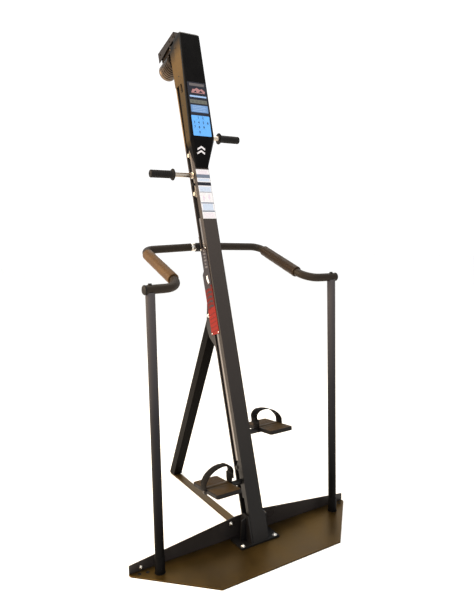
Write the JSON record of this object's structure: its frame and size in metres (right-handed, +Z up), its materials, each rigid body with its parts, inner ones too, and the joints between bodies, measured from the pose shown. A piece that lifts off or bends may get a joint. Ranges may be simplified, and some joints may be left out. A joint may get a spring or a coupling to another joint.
{
  "type": "vertical climber machine",
  "caption": "Leaning-mast vertical climber: pedals and handles slide up and down the mast, left against right on a chain, with side rails, console and brake unit on a floor plate.",
  "frame": {"origin": "centre of the mast's foot, on the floor", "axes": "+X to the user's right, +Y away from the user towards the rear leg, +Z up; the user stands on the -Y side, facing +Y"},
  "size_m": [1.134, 1.087, 2.3625],
  "materials": {
    "black_paint": "satin black powder coat",
    "bronze_paint": "satin dark bronze paint",
    "plated_steel": "bright plated",
    "zinc_fastener": "zinc plated",
    "black_foam": "closed-cell foam sleeve",
    "black_rubber": "moulded, matte",
    "strap_webbing": "woven webbing",
    "white_nylon": "turned nylon",
    "black_nylon": "turned nylon",
    "console_shell": "fine texture",
    "keypad_film": "printed film",
    "cover_red": "printed cover sheet",
    "chain_steel": "oiled",
    "drum_alloy": "cast, dark anodised",
    "board_green": "solder mask"
  },
  "bodies": {
    "frame": {"base_plate": "bronze_paint", "floor_bar": "bronze_paint", "left_head_cover": "bronze_paint", "right_head_cover": "bronze_paint", "rear_wall": "black_paint", "mast_foot_bracket": "black_paint", "rear_leg": "black_paint", "leg_bracket": "black_paint", "mast": "black_paint", "hood_channel": "black_paint", "console_back": "black_paint", "rail_bracket": "black_paint", "left_post_socket": "black_paint", "right_post_socket": "black_paint", "left_post": "black_paint", "right_post": "black_paint", "left_hand_rail": "black_paint", "right_hand_rail": "black_paint", "console_housing": "console_shell", "console_overlay": "keypad_film", "console_board": "board_green", "load_unit_housing": "drum_alloy", "shaft_bearing": "plated_steel", "idler_axle": "plated_steel", "drive_chain": "chain_steel", "left_foot_bolt": "zinc_fastener", "right_foot_bolt": "zinc_fastener", "left_rail_foam": "black_foam", "right_rail_foam": "black_foam", "left_rail_end_cap": "black_rubber", "right_rail_end_cap": "black_rubber", "left_track_cover": "cover_red", "right_track_cover": "cover_red"},
    "top_drive": {"drive_shaft": "plated_steel", "top_sprocket": "plated_steel", "brake_disc": "drum_alloy"},
    "bottom_idler": {"idler_sprocket": "plated_steel"},
    "left_climber": {"left_link_bar": "plated_steel", "left_foot_carriage": "black_paint"},
    "left_handle": {"left_handle_carriage": "plated_steel", "left_handle_rod": "plated_steel", "left_handle_grip": "black_rubber"},
    "left_pedal_body": {"left_pedal": "black_rubber", "left_foot_strap": "strap_webbing"},
    "left_lock": {"left_lock_pin": "black_rubber"},
    "left_foot_roller_body": {"left_foot_roller": "black_nylon"},
    "left_lower_hand_roller_body": {"left_lower_hand_roller": "white_nylon"},
    "left_upper_hand_roller_body": {"left_upper_hand_roller": "white_nylon"},
    "right_climber": {"right_link_bar": "plated_steel", "right_foot_carriage": "black_paint"},
    "right_handle": {"right_handle_carriage": "plated_steel", "right_handle_rod": "plated_steel", "right_handle_grip": "black_rubber"},
    "right_pedal_body": {"right_pedal": "black_rubber", "right_foot_strap": "strap_webbing"},
    "right_lock": {"right_lock_pin": "black_rubber"},
    "right_foot_roller_body": {"right_foot_roller": "black_nylon"},
    "right_lower_hand_roller_body": {"right_lower_hand_roller": "white_nylon"},
    "right_upper_hand_roller_body": {"right_upper_hand_roller": "white_nylon"}
  },
  "joints": [
    {"name": "left_climb", "type": "slide", "parent": "frame", "child": "left_climber", "axis": [0, 0.2639, 0.9646], "range_m": [-0.11, 0.31]},
    {"name": "left_handle_height", "type": "slide", "parent": "left_climber", "child": "left_handle", "axis": [0, 0.2639, 0.9646], "range_m": [-0.1, 0.05]},
    {"name": "left_lock_pull", "type": "slide", "parent": "left_handle", "child": "left_lock", "axis": [-1, 0, 0], "range_m": [0, 0.008], "stiffness_N_per_m": 400, "springref_m": -0.004},
    {"name": "left_pedal_rock", "type": "hinge", "parent": "left_climber", "child": "left_pedal_body", "pos_m": [0, 0.07045, 0.25754], "axis": [1, 0, 0], "range_deg": [-20, 20]},
    {"name": "left_foot_roller_spin", "type": "hinge", "parent": "left_climber", "child": "left_foot_roller_body", "pos_m": [0, 0.10326, 0.31077], "axis": [1, 0, 0], "range_deg": [-1980, 705]},
    {"name": "left_lower_hand_roller_spin", "type": "hinge", "parent": "left_handle", "child": "left_lower_hand_roller_body", "pos_m": [0, 0.44419, 1.55697], "axis": [1, 0, 0], "range_deg": [-1980, 705]},
    {"name": "left_upper_hand_roller_spin", "type": "hinge", "parent": "left_handle", "child": "left_upper_hand_roller_body", "pos_m": [0, 0.49564, 1.74506], "axis": [1, 0, 0], "range_deg": [-1980, 705]},
    {"name": "right_climb", "type": "slide", "parent": "frame", "child": "right_climber", "axis": [0, 0.2639, 0.9646], "range_m": [-0.3105, 0.1105]},
    {"name": "right_handle_height", "type": "slide", "parent": "right_climber", "child": "right_handle", "axis": [0, 0.2639, 0.9646], "range_m": [-0.1, 0.05]},
    {"name": "right_lock_pull", "type": "slide", "parent": "right_handle", "child": "right_lock", "axis": [1, 0, 0], "range_m": [0, 0.008], "stiffness_N_per_m": 400, "springref_m": -0.004},
    {"name": "right_pedal_rock", "type": "hinge", "parent": "right_climber", "child": "right_pedal_body", "pos_m": [0, 0.12376, 0.45238], "axis": [1, 0, 0], "range_deg": [-20, 20]},
    {"name": "right_foot_roller_spin", "type": "hinge", "parent": "right_climber", "child": "right_foot_roller_body", "pos_m": [0, 0.15657, 0.50561], "axis": [1, 0, 0], "range_deg": [-705, 1980]},
    {"name": "right_lower_hand_roller_spin", "type": "hinge", "parent": "right_handle", "child": "right_lower_hand_roller_body", "pos_m": [0, 0.49749, 1.75181], "axis": [1, 0, 0], "range_deg": [-705, 1980]},
    {"name": "right_upper_hand_roller_spin", "type": "hinge", "parent": "right_handle", "child": "right_upper_hand_roller_body", "pos_m": [0, 0.54894, 1.9399], "axis": [1, 0, 0], "range_deg": [-705, 1980]},
    {"name": "drive_turn", "type": "hinge", "parent": "frame", "child": "top_drive", "pos_m": [0, 0.61799, 2.25899], "axis": [0, 0.9646, -0.2639], "range_deg": [-330, 900]},
    {"name": "idler_turn", "type": "hinge", "parent": "frame", "child": "bottom_idler", "pos_m": [0, 0.02243, 0.08199], "axis": [0, 0.9646, -0.2639], "range_deg": [-330, 900]}
  ],
  "couplings": [
    {"joint": "left_foot_roller_spin", "follows": "left_climb", "rad_per_m": -111.11},
    {"joint": "left_lower_hand_roller_spin", "follows": "left_climb", "rad_per_m": -111.11},
    {"joint": "left_upper_hand_roller_spin", "follows": "left_climb", "rad_per_m": -111.11},
    {"joint": "right_climb", "follows": "left_climb", "ratio": -1},
    {"joint": "right_foot_roller_spin", "follows": "left_climb", "rad_per_m": 111.11},
    {"joint": "right_lower_hand_roller_spin", "follows": "left_climb", "rad_per_m": 111.11},
    {"joint": "right_upper_hand_roller_spin", "follows": "left_climb", "rad_per_m": 111.11},
    {"joint": "drive_turn", "follows": "left_climb", "rad_per_m": 50},
    {"joint": "idler_turn", "follows": "left_climb", "rad_per_m": 50}
  ]
}
